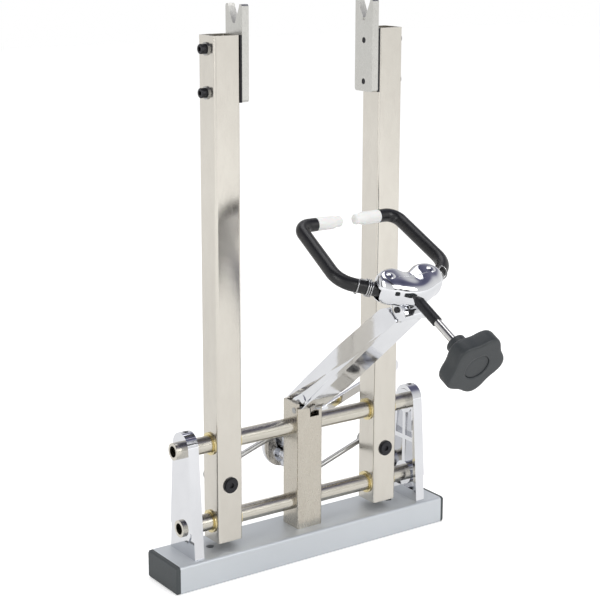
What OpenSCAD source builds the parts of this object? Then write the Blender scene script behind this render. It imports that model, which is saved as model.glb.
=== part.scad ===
// Bicycle wheel truing stand: two self-centring uprights that slide on a pair of
// guide rods, and a screw-driven caliper on a hinged arm in front of them.
// Millimetres. X runs along the base, Y to the back, Z up.
// The origin is the middle of the base's underside.

/* [Base] */
// Overall length of the base, end caps included
base_l = 352; // [346:1:390]
// Depth of the base tube, front to back
base_w = 60; // [56:1:80]
// Height of the base tube
base_h = 30; // [28:1:40]
// Wall of the base tube
base_wall = 2.5; // [2:0.5:3.5]
// Outer corner radius of the base tube
base_r = 3; // [2.5:0.5:5]
// Thickness of each end cap outside the tube
cap_t = 4.5; // [3:0.5:8]
// Length of each end cap's plug inside the tube
cap_plug = 12; // [6:1:15]
// Distance between the two bench-bolt holes
bench_spacing = 236; // [226:1:242]
// Diameter of the bench-bolt holes
bench_d = 8.5; // [5:0.5:10]

/* [End brackets] */
// Distance between the brackets' outer faces
bracket_span = 304.4; // [300:0.4:318]
// Thickness of each bracket
bracket_t = 12.4; // [11:0.2:16]
// Depth of each bracket at its foot
foot_w = 49; // [44:1:56]
// Radius of each bracket's crest round the upper rod
crest_r = 15.5; // [14:0.5:18]
// Depth of the pockets in each bracket's inner face
pocket_t = 6; // [3:0.5:7]
// Distance between the two screws in each bracket's foot
foot_screws = 28; // [22:1:32]

/* [Guide rods] */
// Height of the lower rod's axis above the table
rod_z1 = 58; // [54:1:64]
// Height of the upper rod's axis above the table
rod_z2 = 143; // [138:1:150]
// Outer diameter of the rods
rod_d = 18; // [16:1:20]
// Wall of the rods
rod_wall = 3; // [2:0.5:4]
// Length of the upper rod outside the left bracket
rod_out2 = 9; // [4:1:14]
// Length of the lower rod outside the left bracket
rod_out1 = 3; // [1:1:8]

/* [Uprights] */
// Distance of each upright's axis from the middle
upright_x = 101.5; // [98:0.5:105]
// Side of the upright's square tube
upright_w = 30; // [28:1:32]
// Wall of the uprights
upright_wall = 2; // [1.5:0.5:3]
// Outer corner radius of the uprights and the post
tube_r = 3; // [2:0.5:4]
// Height of the uprights' lower ends above the table
upright_z0 = 37; // [34:1:45]
// Height of the uprights' upper ends above the table
upright_z1 = 561.5; // [500:0.5:620]
// Diameter of the bushes' flanges
bush_flange_d = 24; // [22:0.5:26]
// Thickness of the bushes' flanges
bush_flange_t = 2.6; // [2:0.2:4]
// Wall of the bushes
bush_wall = 1.5; // [1:0.25:2]
// Length of the bushes inside the upright
bush_l = 9; // [5:1:12]

/* [Axle plates] */
// Thickness of the axle plates
plate_t = 8; // [6:0.5:10]
// Width of the axle plates
plate_w = 30; // [26:1:32]
// Height of the axle plates
plate_h = 96; // [90:1:104]
// Height of the plates' lower ends below the uprights' tops
plate_drop = 66.5; // [60:0.5:70]
// Thickness of the shim behind each plate
shim_t = 2; // [1:0.5:3]
// Depth of the V notch
notch_d = 18.5; // [14:0.5:22]
// Width of the V notch at its mouth
notch_w = 19; // [15:1:21]
// Width of the flat at the V's bottom
notch_flat = 4; // [3:0.5:6]
// Diameter of the plate screws
plate_screw_d = 6; // [5:1:6]
// Height of the lower plate screw below the upright's top
plate_screw_a = 56; // [50:1:60]
// Height of the upper plate screw below the upright's top
plate_screw_b = 13; // [10:1:18]

/* [Centre post] */
// Width of the post, left to right
post_w = 32; // [30:1:34]
// Depth of the post, front to back
post_d = 30; // [28:1:32]
// Wall of the post
post_wall = 3; // [2.5:0.5:3]
// Height of the post's side and back walls above the table
post_z = 170; // [166:1:176]
// How far the post's front wall is lower than its sides
post_step = 5; // [3:1:8]
// Width of the slot in the post's front wall
post_slot_w = 11.5; // [10:0.5:14]
// Depth of the slot below the front wall's edge
post_slot_h = 11; // [8:1:14]

/* [Linkage] */
// Height of the rocker's pivot above the table
rocker_z = 99; // [94:1:104]
// Distance of the link pins from the rocker's pivot
rocker_r = 32.5; // [28:0.5:36]
// Angle of the upper link pin from the vertical, to the left
rocker_angle = 14; // [8:1:20]
// Thickness of the rocker
rocker_t = 6.4; // [5:0.2:8]
// Diameter of the link rods
link_d = 6; // [5:0.5:7]
// Outer radius of the links' eyes
eye_r = 7; // [6.5:0.5:8]
// Diameter of the link pins
link_pin_d = 6; // [5:0.5:7]
// Diameter of the rocker's pivot bolt
rocker_pivot_d = 8; // [6:1:9]
// Angle of the operating lever above the horizontal
lever_angle = 19.5; // [10:0.5:28]
// Length of the operating lever from the rocker's pivot
lever_l = 165; // [140:1:180]
// Thickness of the operating lever
lever_t = 5; // [4:0.5:7]
// Width of the operating lever's bar
lever_w = 9; // [7:0.5:12]

/* [Caliper arm] */
// Distance of the arm's pivot in front of the post's axis
pivot_y = 7; // [5:0.5:8]
// Height of the arm's pivot above the table
pivot_z = 162; // [160:0.5:163]
// Diameter of the arm's pivot pin
pivot_d = 6.5; // [5:0.5:8]
// Length of the arm between its two pivots
arm_l = 226.5; // [200:0.5:240]
// Lean of the arm from the vertical
arm_lean = 49.5; // [44:0.5:56]
// Width of the arm at the post
arm_w0 = 25; // [23:0.5:25.5]
// Width of the arm at the head
arm_w1 = 34; // [30:1:38]
// Depth of the arm above the line between its pivots
arm_up = 13; // [11:0.5:15]
// Depth of the arm below the line between its pivots
arm_down = 8.5; // [7:0.5:10]
// Depth of the flutes in the arm's sides
flute_d = 7; // [4:0.5:8]

/* [Caliper head] */
// Tilt of the head above the horizontal
head_tilt = 27.5; // [15:0.5:40]
// Height of the jaws and the spindle above the head's pivot
head_h = 13.5; // [13:0.5:15]
// Diameter of the head's pivot pin
head_pin_d = 6; // [5:0.5:7]
// Radius of the head's knuckle
knuckle_r = 12.5; // [11:0.5:14]
// Thickness of the arm's tongue in the knuckle
tongue_t = 14; // [10:0.5:16]
// Distance of the jaw pivots from the middle
jaw_px = 24.5; // [23.5:0.5:25.5]
// Distance of the jaw pivots behind the head's pivot
jaw_py = 16; // [15:0.5:17]
// Radius of the head's two lobes
lobe_r = 16.5; // [15:0.5:19]
// Thickness of the head
head_t = 28; // [26:0.5:30]

/* [Jaws and tips] */
// Diameter of the jaws' bars
jaw_d = 13.5; // [12:0.5:13.5]
// Half the distance between the jaws' lower corners
jaw_x1 = 66; // [60:1:72]
// Distance of the lower corners behind the head's pivot
jaw_y1 = 37; // [34:1:42]
// Half the distance between the jaws' upper corners
jaw_x2 = 59.5; // [54:0.5:66]
// Distance of the tips behind the head's pivot
jaw_y2 = 122.5; // [100:0.5:140]
// Half the distance between the bars' ends
jaw_x3 = 39; // [34:1:42]
// Radius of the lower bend, along the bar's axis
bend_r1 = 24; // [18:1:25]
// Radius of the upper bend, along the bar's axis
bend_r2 = 13; // [9:0.5:16]
// Half the gap between the feeler tips
tip_gap = 8; // [5:0.5:14]
// Diameter of the feeler tips
tip_d = 13.5; // [12:0.5:14]
// Diameter of the jaw pivot pins
jaw_pin_d = 7; // [6:0.5:8]
// Wire diameter of the jaw springs
wire_d = 1.4; // [1:0.1:1.8]
// Turns of each jaw spring
wire_turns = 3; // [2:1:5]

/* [Spindle and knob] */
// Diameter of the spindle
spindle_d = 8; // [7:0.5:9]
// Outer diameter of the spindle's sleeve
sleeve_d = 10.5; // [10:0.5:12]
// Distance of the knob's hub in front of the head's pivot
knob_y0 = 68; // [58:1:80]
// Height of the knob, hub included
knob_h = 35.5; // [32:0.5:40]
// Diameter of the knob over its lobes
knob_d = 66; // [58:1:70]
// Diameter of the knob's hub
hub_d = 20; // [18:1:24]
// Height of the knob's lobes
lobe_h = 17.5; // [16:0.5:22]
// Number of the knob's lobes
lobes = 5; // [5:1:6]

/* [Hidden] */
$fn = 64;
clear = 0.3;                 // gap between parts that pass each other
run = 0.05;                  // radial clearance of a running fit
eps = 0.01;
cut = 1;                     // how far a cutting shape runs past a face

silver = "#c9ced3";
nickel = "#d7d0c4";
chrome = "#e4e6ea";
black = "#28282c";
steel = "#9a9a98";

// base
tube_l = base_l - 2 * cap_t;
bolt_d = 6;                  // screws from below into the brackets and the post
bolt_head_d = 10;
bolt_head_h = 5;
bolt_tip = 1;                // these screws end this far above their holes' ends
post_screw_y = 8;
access_d = bolt_head_d + 3;  // holes in the base's bottom wall, for the key
foot_depth = 14;             // how deep those screws go
base_in = base_h - base_wall;

// brackets
bracket_x = bracket_span / 2 - bracket_t / 2;
crest_z = rod_z2 + 3;
crest_top = crest_z + crest_r;
seat_r = rod_d / 2 + run;    // rod seats
rib_w = 4.5;                 // walls left round the pockets
web_w = 5;
pocket_floor = 12;           // the pockets start this far above the base
boss_r = rod_d / 2 + 4.5;
grub_d = 6;
grub_l = 7;

// uprights
plate_z0 = upright_z1 - plate_drop;
plate_z1 = plate_z0 + plate_h;
inner_x = upright_x - upright_w / 2;          // inner face of an upright
plate_x = inner_x - shim_t - plate_t / 2;     // middle of an axle plate
screw_zs = [upright_z1 - plate_screw_a, upright_z1 - plate_screw_b];
bush_d = rod_d + 2 * bush_wall;
washer_t = 1.6;
washer_d = 13;
cap_head_d = 10;
cap_head_h = 6;

// linkage, from the back of the post outwards
rocker_y0 = post_d / 2 + 0.4;
eye_t = link_d;
link_y0 = rocker_y0 + rocker_t + 0.4;
link_y = link_y0 + eye_t / 2;
lever_y0 = link_y0 + eye_t + 1.6;
nut_t = 1.2;
pin_u = [-rocker_r * sin(rocker_angle), rocker_z + rocker_r * cos(rocker_angle)];
pin_l = [-pin_u[0], 2 * rocker_z - pin_u[1]];
link_dx = upright_x - pin_l[0];
link_dz = rocker_z - pin_l[1];
link_l = sqrt(link_dx * link_dx + link_dz * link_dz);
link_slope = atan2(link_dz, link_dx);
hub_r = 26;                  // round end of the lever
hub_dx = -4;
hub_dz = 14;
lever_line = 22;             // distance of the bar's axis from the pivot
lever_end_r = 7;
boss_d = 15;

// arm: local z runs from the post's pivot to the head's, local y is its upper side
knuckle_w = arm_w1 + 1;
tongue_r = 7.5;
shoulder_z = arm_l - knuckle_r - 1.6;
arm_pivot_r = 8;
set_screw_z = 179;
set_screw_d = 4;
arm_tail_w = post_slot_w - 2 * clear;
tail_x = 5;                  // the slot and the arm's tail sit right of the middle
flute_r = 15;                // radius of the flutes' cutter at its wide end
flute_l = 175;

// head: local y points to the wheel, local z is its upper side
head_z0 = head_h - 10.5;
head_z1 = head_z0 + head_t;
head_mid = (head_z0 + head_z1) / 2;
slot_h = jaw_d + 2 * clear;
lug_r = 8;
lug_h = jaw_d - 1;
lobe_x = jaw_px - 3;
lobe_y = jaw_py - 2;
head_edge = 7;               // radius of the head's edges
belly_r = 45;                // long curve of the front that the spindle enters
front_y = -9;
belly_y = front_y + belly_r;
waist_r = 14;
waist_d = 7;
valley_r = 22;
valley_d = 7;
room_d = 10.4;               // the jaw's room starts this far in front of its pivot
room_a = 14;                 // and opens at this angle, past the wide-open jaw
room_y = 1.5;
room_l = 23.5;
room_w = 24;
collar_y0 = 1.8;             // collar that holds the spindle in the head
collar_y1 = 2.9;
nut_y0 = 4.2;
nut_l = 5;
nut_w = 18;
nut_h = 12;
sleeve_y = 38;               // front end of the sleeve
dome_h = 1.7;                // domed heads of the jaw pivots
dome_d = 9.5;
dome_sphere = (dome_d * dome_d / 4 + dome_h * dome_h) / (2 * dome_h);
dome_sink = 0.5;

// jaws
lap = 0.4;                   // the straights run this far into the bends
jaw_p0 = [jaw_px + 4, jaw_py - 1.25];
jaw_p1 = [jaw_x1, jaw_y1];
jaw_p2 = [jaw_x2, jaw_y2];
jaw_p3 = [jaw_x3, jaw_y2];
tail_in = spindle_d / 2 + 1.4;                // the tails stop this far from the middle
tail_w = 5.5;
tail_h = 8.5;
tail_y0 = nut_y0 + nut_l + 0.6;
tip_stem_d = 6;
tip_stem_l = 9;
cap_d = 26;                  // disc in the knob's end
knob_grip = 12;              // the spindle stops this far inside the knob's end

// jaw springs, in their own frame: z along the bar, a coil round it, then a leg
// along the bar and a hook round it
spring_start = 11.5;
coil_r = jaw_d / 2 + wire_d / 2 + 2 * clear;
coil_pitch = wire_d + 0.6;
coil_steps = 12;
coil_z = wire_turns * coil_pitch;
hook_z = 14;
hook_steps = 12;
hook_turn = 270;

// ---- shared shapes ----

// square-cornered plan with four round corners, by arcs
module round_rect(w, d, r) {
    union() {
        square([w - 2 * r, d], center = true);
        square([w, d - 2 * r], center = true);
        for (x = [-1, 1], y = [-1, 1]) translate([x * (w / 2 - r), y * (d / 2 - r)]) circle(r);
    }
}

// square tube along z
module square_tube(w, d, wall, r, z0, z1) {
    translate([0, 0, z0]) linear_extrude(z1 - z0) difference() {
        round_rect(w, d, r);
        round_rect(w - 2 * wall, d - 2 * wall, max(r - wall, 0.4));
    }
}

// cylinder along x, from x0 to x1
module bar_x(d, x0, x1) {
    translate([x0, 0, 0]) rotate([0, 90, 0]) cylinder(d = d, h = x1 - x0);
}

// cylinder along y, from y0 to y1
module bar_y(d, y0, y1) {
    translate([0, y1, 0]) rotate([90, 0, 0]) cylinder(d = d, h = y1 - y0);
}

// socket cap screw: head from z = 0 upwards, shank below
module cap_screw(d, l, head_d, head_h) {
    difference() {
        union() {
            translate([0, 0, -l]) cylinder(d = d, h = l + eps);
            cylinder(d = head_d, h = head_h - 0.6);
            translate([0, 0, head_h - 0.6]) cylinder(d1 = head_d, d2 = head_d - 1.2, h = 0.6);
        }
        translate([0, 0, head_h / 2]) cylinder(d = 0.86 * d, h = head_h, $fn = 6);
    }
}

// headless screw with a hexagon socket, top face at z = 0
module grub_screw(d, l) {
    difference() {
        translate([0, 0, -l]) cylinder(d = d, h = l);
        translate([0, 0, -l / 2]) cylinder(d = 0.55 * d, h = l, $fn = 6);
    }
}

module at_arm() translate([0, -pivot_y, pivot_z]) rotate([arm_lean, 0, 0]) children();
module at_head() at_arm() translate([0, 0, arm_l]) rotate([head_tilt - arm_lean, 0, 0]) children();

// ---- frame ----

module base_tube() {
    color(silver) difference() {
        rotate([90, 0, 90]) translate([0, base_h / 2, -tube_l / 2]) linear_extrude(tube_l) difference() {
            round_rect(base_w, base_h, base_r);
            round_rect(base_w - 2 * base_wall, base_h - 2 * base_wall, max(base_r - base_wall, 0.4));
        }
        for (s = [-1, 1]) {
            translate([s * bench_spacing / 2, 0, -cut]) cylinder(d = bench_d, h = base_h + 2 * cut);
            for (y = [-1, 1]) translate([s * bracket_x, y * foot_screws / 2, 0]) base_screw_holes();
            translate([0, s * post_screw_y, 0]) base_screw_holes();
        }
    }
}

module base_screw_holes() {
    translate([0, 0, base_in - cut]) cylinder(d = bolt_d + 0.4, h = base_wall + 2 * cut);
    translate([0, 0, -cut]) cylinder(d = access_d, h = base_wall + 2 * cut);
}

module end_caps() {
    color("#55585c") for (s = [0, 1]) mirror([s, 0, 0]) translate([tube_l / 2, 0, base_h / 2]) {
        rotate([90, 0, 90]) linear_extrude(cap_t - 1.5) round_rect(base_w, base_h, base_r + 0.5);
        hull() for (y = [-1, 1], z = [-1, 1])
            translate([cap_t - 1.5, y * (base_w / 2 - base_r - 0.5), z * (base_h / 2 - base_r - 0.5)])
                rotate([0, 90, 0]) cylinder(r1 = base_r + 0.5, r2 = base_r - 1, h = 1.5, $fn = 32);
        rotate([90, 0, 90]) translate([0, 0, -cap_plug]) linear_extrude(cap_plug) difference() {
            square([base_w - 2 * base_wall - 2 * clear, base_h - 2 * base_wall - 2 * clear], center = true);
            square([base_w - 2 * base_wall - 5, base_h - 2 * base_wall - 5], center = true);
        }
    }
}

// side outline of a bracket: a foot that tapers up to the round crest
module bracket_outline(inset) {
    a = asin((foot_w / 2 - crest_r) / (crest_z - base_h));
    r = crest_r - inset;
    union() {
        translate([0, crest_z]) circle(r);
        polygon([[-foot_w / 2 + inset, base_h + inset], [foot_w / 2 - inset, base_h + inset],
                 [r * cos(a), crest_z + r * sin(a)], [-r * cos(a), crest_z + r * sin(a)]]);
    }
}

// bracket with its outer face to +x; the pockets open to the post
module bracket_body() {
    rod_bore = 2 * seat_r;
    difference() {
        translate([bracket_span / 2 - bracket_t, 0, 0]) rotate([90, 0, 90]) difference() {
            linear_extrude(bracket_t) bracket_outline(0);
            translate([0, 0, -eps]) linear_extrude(pocket_t) difference() {
                bracket_outline(rib_w);
                translate([0, rod_z1]) circle(boss_r);
                translate([0, rod_z2]) circle(boss_r);
                translate([-web_w / 2, base_h]) square([web_w, rod_z2 - base_h]);
                translate([-foot_w / 2, base_h]) square([foot_w, pocket_floor]);
                translate([-foot_w / 2, (rod_z1 + rod_z2) / 2 - web_w / 2]) square([foot_w, web_w]);
            }
        }
        for (z = [rod_z1, rod_z2]) translate([0, 0, z]) bar_x(rod_bore, 0, bracket_span);
        translate([bracket_x, 0, crest_z]) cylinder(d = grub_d, h = crest_r + cut);
        translate([bracket_x, 0, rod_z1]) bar_y(grub_d, 0, foot_w);
        for (y = [-1, 1]) translate([bracket_x, y * foot_screws / 2, base_h - cut])
            cylinder(d = bolt_d, h = foot_depth - bolt_tip + cut);
        // step in the outer face round the lower rod
        translate([0, 0, rod_z1]) difference() {
            bar_x(6 * boss_r, bracket_span / 2 - 1.2, bracket_span / 2 + cut);
            bar_x(2 * boss_r + 7, 0, bracket_span);
            translate([0, -foot_w, 0]) cube([bracket_span, 2 * foot_w, crest_top]);
        }
    }
}

module right_bracket() color(chrome) bracket_body();
module left_bracket() color(chrome) mirror([1, 0, 0]) bracket_body();

module base_bolt() {
    translate([0, 0, base_in]) rotate([180, 0, 0])
        cap_screw(bolt_d, base_wall + foot_depth - bolt_tip - 1, bolt_head_d, bolt_head_h);
}

module bracket_bolts() {
    color(black) for (s = [-1, 1], y = [-1, 1])
        translate([s * bracket_x, y * foot_screws / 2, 0]) base_bolt();
}

module post_bolts() {
    color(black) for (y = [-1, 1]) translate([0, y * post_screw_y, 0]) base_bolt();
}

module rod(z, out) {
    color(nickel) translate([0, 0, z]) difference() {
        bar_x(rod_d, -bracket_span / 2 - out, bracket_span / 2);
        bar_x(rod_d - 2 * rod_wall, -bracket_span / 2 - out - cut, bracket_span / 2 + cut);
    }
}

module upper_rod() rod(rod_z2, rod_out2);
module lower_rod() rod(rod_z1, rod_out1);

module rod_set_screws() {
    color(black) for (s = [-1, 1]) {
        crest_l = crest_top - rod_z2 - rod_d / 2 - 1;
        translate([s * bracket_x, 0, rod_z2 + rod_d / 2 + crest_l]) grub_screw(grub_d, crest_l);
        translate([s * bracket_x, rod_d / 2 + grub_l, rod_z1]) rotate([-90, 0, 0]) grub_screw(grub_d, grub_l);
    }
}

module centre_post() {
    front_z = post_z - post_step;
    color(nickel) difference() {
        union() {
            square_tube(post_w, post_d, post_wall, tube_r, base_h, post_z);
            // foot plug that the screws from below bite into
            translate([-post_w / 2 + 1, -post_d / 2 + 1, base_h]) cube([post_w - 2, post_d - 2, foot_depth]);
            // solid block behind the tube's wall that carries the rocker's pivot
            translate([-post_w / 2 + 1, post_d / 2 - 12, rocker_z - 14]) cube([post_w - 2, 11, 28]);
        }
        translate([-post_w, -post_d / 2 - cut, front_z]) cube([2 * post_w, post_wall + cut, post_z]);
        translate([tail_x - post_slot_w / 2, -post_d / 2 - cut, front_z - post_slot_h])
            cube([post_slot_w, post_wall + 2 * cut, post_z]);
        translate([0, -pivot_y, pivot_z]) bar_x(pivot_d, -post_w, post_w);
        for (z = [rod_z1, rod_z2]) translate([0, 0, z]) bar_x(2 * seat_r, -post_w, post_w);
        for (y = [-1, 1]) translate([0, y * post_screw_y, base_h - cut])
            cylinder(d = bolt_d, h = foot_depth - bolt_tip + cut);
        translate([0, 0, rocker_z]) bar_y(rocker_pivot_d, post_d / 2 - 10, post_d);
    }
}

module arm_pivot_pin() {
    color(steel) translate([0, -pivot_y, pivot_z]) bar_x(pivot_d, -post_w / 2 - 0.4, post_w / 2 + 0.4);
}

module rocker_pivot_bolt() {
    head_y = lever_y0 + lever_t + clear;
    color(black) translate([0, 0, rocker_z]) difference() {
        union() {
            bar_y(rocker_pivot_d, post_d / 2 - 9.5, head_y + eps);
            bar_y(rocker_pivot_d + 6, head_y, head_y + 4);
        }
        translate([0, head_y + 2, 0]) rotate([-90, 0, 0]) cylinder(d = 5.8, h = 3, $fn = 6);
    }
}

// ---- uprights, drawn for the right side ----

module upright_body() {
    difference() {
        translate([upright_x, 0, 0])
            square_tube(upright_w, upright_w, upright_wall, tube_r, upright_z0, upright_z1);
        for (z = [rod_z1, rod_z2]) translate([0, 0, z]) bar_x(bush_d, 0, 2 * upright_x);
        for (z = screw_zs) translate([0, 0, z]) bar_x(plate_screw_d + 0.4, 0, 2 * upright_x);
        translate([upright_x, 0, rocker_z]) bar_y(link_pin_d + 0.2, -upright_w, upright_w);
    }
}

module bush() {
    difference() {
        union() {
            cylinder(d = bush_d - 1.5, h = bush_flange_t);
            cylinder(d = bush_flange_d, h = bush_flange_t * 0.6);
            translate([0, 0, -bush_l]) cylinder(d = bush_d, h = bush_l + eps);
        }
        translate([0, 0, -bush_l - cut]) cylinder(d = rod_d + 2 * run, h = bush_l + bush_flange_t + 2 * cut);
    }
}

module bushes() {
    for (s = [-1, 1], z = [rod_z1, rod_z2])
        translate([upright_x + s * upright_w / 2, 0, z]) rotate([0, s * 90, 0]) bush();
}

module shim() {
    difference() {
        translate([inner_x - shim_t, -plate_w / 2, plate_z0])
            cube([shim_t, plate_w, upright_z1 - plate_z0]);
        for (z = screw_zs) translate([0, 0, z]) bar_x(plate_screw_d + 0.4, 0, upright_x);
    }
}

// outline across y and z, with the V notch, two chamfered prongs and round feet
module plate_outline() {
    r = 3;
    notch_z = plate_h - notch_d;
    difference() {
        union() {
            translate([-plate_w / 2, r]) square([plate_w, plate_h - r]);
            translate([-plate_w / 2 + r, 0]) square([plate_w - 2 * r, r + eps]);
            for (s = [-1, 1]) translate([s * (plate_w / 2 - r), r]) circle(r);
        }
        polygon([[-notch_flat / 2, notch_z], [notch_flat / 2, notch_z],
                 [notch_w / 2, plate_h - 3], [notch_w / 2 + 1, plate_h + cut],
                 [-notch_w / 2 - 1, plate_h + cut], [-notch_w / 2, plate_h - 3]]);
        for (s = [-1, 1]) translate([s * plate_w / 2, plate_h]) rotate(45) square(2.4, center = true);
    }
}

module axle_plate() {
    difference() {
        translate([inner_x - shim_t - plate_t, 0, plate_z0])
            rotate([90, 0, 90]) linear_extrude(plate_t) plate_outline();
        for (z = screw_zs) translate([0, 0, z]) bar_x(plate_screw_d, 0, upright_x);
        // small relief under the notch
        translate([inner_x - shim_t - plate_t - cut, -2, plate_z1 - notch_d - 3])
            cube([cut + 1.2, 4, 2.2]);
    }
}

module plate_screws() {
    head_x = upright_x + upright_w / 2 + washer_t;
    for (z = screw_zs) translate([head_x, 0, z]) rotate([0, 90, 0])
        cap_screw(plate_screw_d, head_x - inner_x + shim_t + plate_t - 0.6, cap_head_d, cap_head_h);
}

module washers() {
    for (z = screw_zs) translate([upright_x + upright_w / 2, 0, z]) difference() {
        bar_x(washer_d, 0, washer_t);
        bar_x(plate_screw_d + 0.4, -cut, washer_t + cut);
    }
}

module link_screw() {
    translate([upright_x, 0, rocker_z]) difference() {
        union() {
            bar_y(link_pin_d, -upright_w / 2 - eps, lever_y0 - 0.4 - eps);
            bar_y(17, -upright_w / 2 - 1.4, -upright_w / 2);
            bar_y(14.5, -upright_w / 2 - 2.4, -upright_w / 2 - 1.4);
            // spacer that keeps the link clear of the rocker
            bar_y(13, upright_w / 2, link_y0 - 0.2);
            // retaining ring behind the eye
            bar_y(10, lever_y0 - 0.4 - nut_t + 0.2, lever_y0 - 0.4);
        }
        translate([0, -upright_w / 2 - 0.6, 0]) rotate([90, 0, 0]) cylinder(d = 6.2, h = 5, $fn = 6);
    }
}

module right_upright() color(nickel) upright_body();
module left_upright() color(nickel) mirror([1, 0, 0]) upright_body();
module right_bushes() color("#c8aa5a") bushes();
module left_bushes() color("#c8aa5a") mirror([1, 0, 0]) bushes();
module right_shim() color(black) shim();
module left_shim() color(black) mirror([1, 0, 0]) shim();
module right_axle_plate() color(nickel) axle_plate();
module left_axle_plate() color(nickel) mirror([1, 0, 0]) axle_plate();
module right_plate_screws() color(black) plate_screws();
module left_plate_screws() color(black) mirror([1, 0, 0]) plate_screws();
module right_washers() color(steel) washers();
module left_washers() color(steel) mirror([1, 0, 0]) washers();
module right_link_screw() color(black) link_screw();
module left_link_screw() color(black) mirror([1, 0, 0]) link_screw();

// ---- linkage ----

module rocker() {
    color(chrome) difference() {
        union() {
            translate([0, rocker_y0 + rocker_t, 0]) rotate([90, 0, 0])
                linear_extrude(rocker_t) rocker_outline();
            translate([0, 0, rocker_z]) bar_y(boss_d, rocker_y0, lever_y0);
        }
        translate([0, 0, rocker_z]) bar_y(rocker_pivot_d + 2 * run, 0, 2 * lever_y0);
        for (p = [pin_u, pin_l]) translate([p[0], 0, p[1]]) bar_y(link_pin_d, 0, 2 * lever_y0);
    }
}

// a bar with three round bosses, narrow between them
module rocker_outline() {
    union() {
        translate([0, rocker_z]) circle(11);
        for (p = [pin_u, pin_l]) translate([p[0], p[1]]) circle(8);
        translate([0, rocker_z]) rotate(rocker_angle) square([11, 2 * rocker_r], center = true);
    }
}

module rocker_pins() {
    color(steel) for (p = [pin_u, pin_l]) translate([p[0], 0, p[1]])
        bar_y(link_pin_d, rocker_y0 + 0.2, rocker_y0 + rocker_t + 0.1);
}

module operating_lever() {
    end = [lever_l * cos(lever_angle), lever_l * sin(lever_angle)];
    off = [-lever_line * sin(lever_angle), lever_line * cos(lever_angle)];
    color(chrome) difference() {
        translate([0, lever_y0 + lever_t, 0]) rotate([90, 0, 0]) linear_extrude(lever_t) union() {
            translate([hub_dx, rocker_z + hub_dz]) circle(hub_r);
            translate([0, rocker_z]) circle(14);
            translate([off[0], rocker_z + off[1]]) rotate(lever_angle) translate([0, -lever_w / 2])
                square([lever_l, lever_w]);
            translate([off[0] + end[0], rocker_z + off[1] + end[1]]) circle(lever_end_r);
        }
        translate([0, 0, rocker_z]) bar_y(rocker_pivot_d + 2 * run, 0, 2 * lever_y0);
    }
}

// the right link, from the rocker's lower pin to the right upright
module link_body() {
    eye_in = eye_r - 1;
    translate([upright_x, link_y, rocker_z]) rotate([0, -link_slope, 0]) difference() {
        union() {
            bar_x(link_d, -link_l + eye_in, -eye_in);
            bar_y(2 * eye_r, -eye_t / 2, eye_t / 2);
            translate([-link_l, 0, 0]) bar_y(2 * eye_r, -eye_t / 2, eye_t / 2);
        }
        bar_y(link_pin_d + 2 * run, -eye_t, eye_t);
        translate([-link_l, 0, 0]) bar_y(link_pin_d, -eye_t, eye_t / 2 - 1.5);
    }
}

module right_link() color(steel) link_body();
module left_link() {
    color(steel) translate([0, 0, 2 * rocker_z]) mirror([1, 0, 0]) mirror([0, 0, 1]) link_body();
}

// ---- caliper arm ----

// side outline across local y and z: shoulder at the head, slanted heel at the post
module arm_side() {
    heel = arm_pivot_r + 1.2;
    lug = pivot_d / 2 + 1.15;    // thin wall round the pin, clear of the post's front wall
    polygon([[arm_up, -6], [arm_up, shoulder_z - 10], [-arm_down, shoulder_z],
             [-arm_down, 62], [-arm_down + 2.5, 34], [-3.4, heel], [1, heel - 0.6],
             [4.4, heel - 1.6], [3.4, 3], [0, lug], [-3.1, 3.1], [-lug, 0], [-3.5, -5],
             [4, -11], [10, -10]]);
}

// front outline across local x and z
module arm_front() {
    polygon([[-arm_w0 / 2, -10], [arm_w0 / 2, -10], [arm_w0 / 2, 30], [arm_w1 / 2, arm_l - 20],
             [arm_w1 / 2, arm_l], [-arm_w1 / 2, arm_l], [-arm_w1 / 2, arm_l - 20], [-arm_w0 / 2, 30]]);
}

// long scoop in the left side, deeper and wider towards the post
module flute() {
    translate([-arm_w0 / 2 - flute_r + flute_d + 1.3, 9, -20]) rotate([3.7, 0.7, 0])
        cylinder(r1 = flute_r, r2 = 1, h = flute_l);
}

module caliper_arm() {
    color(chrome) at_arm() difference() {
        union() {
            intersection() {
                rotate([90, 0, 90]) translate([0, 0, -arm_w1]) linear_extrude(2 * arm_w1) arm_side();
                translate([0, 2 * arm_up, 0]) rotate([90, 0, 0]) linear_extrude(4 * arm_up) arm_front();
            }
            // tail that turns on the pin and drops into the post's slot
            translate([tail_x, 0, 0]) {
                bar_x(2 * arm_pivot_r - 1, -arm_tail_w / 2, arm_tail_w / 2);
                translate([-arm_tail_w / 2, -arm_pivot_r + 0.5, 0])
                    cube([arm_tail_w, 2 * arm_pivot_r - 2, 30]);
            }
            // tongue in the head's knuckle
            translate([0, 0, arm_l]) bar_x(2 * tongue_r, -tongue_t / 2, tongue_t / 2);
            translate([-tongue_t / 2, -arm_down, shoulder_z - 12])
                cube([tongue_t, arm_down + tongue_r - 1, arm_l - shoulder_z + 12]);
        }
        bar_x(pivot_d + 2 * run, -post_w, post_w);
        translate([0, 0, arm_l]) bar_x(head_pin_d + 2 * run, -knuckle_w, knuckle_w);
        for (s = [0, 1]) mirror([s, 0, 0]) flute();
        translate([0, -arm_down - cut, set_screw_z]) rotate([-90, 0, 0])
            cylinder(d = set_screw_d, h = 6 + cut);
        // round seat that lets the knuckle turn
        translate([0, 0, arm_l]) for (s = [0, 1]) mirror([s, 0, 0])
            bar_x(2 * knuckle_r + 3.4, tongue_t / 2, arm_w1);
    }
}

module head_pin_screw() {
    color(black) at_arm() translate([0, -arm_down + 0.3, set_screw_z]) rotate([90, 0, 0])
        grub_screw(set_screw_d, 5);
}

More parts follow.
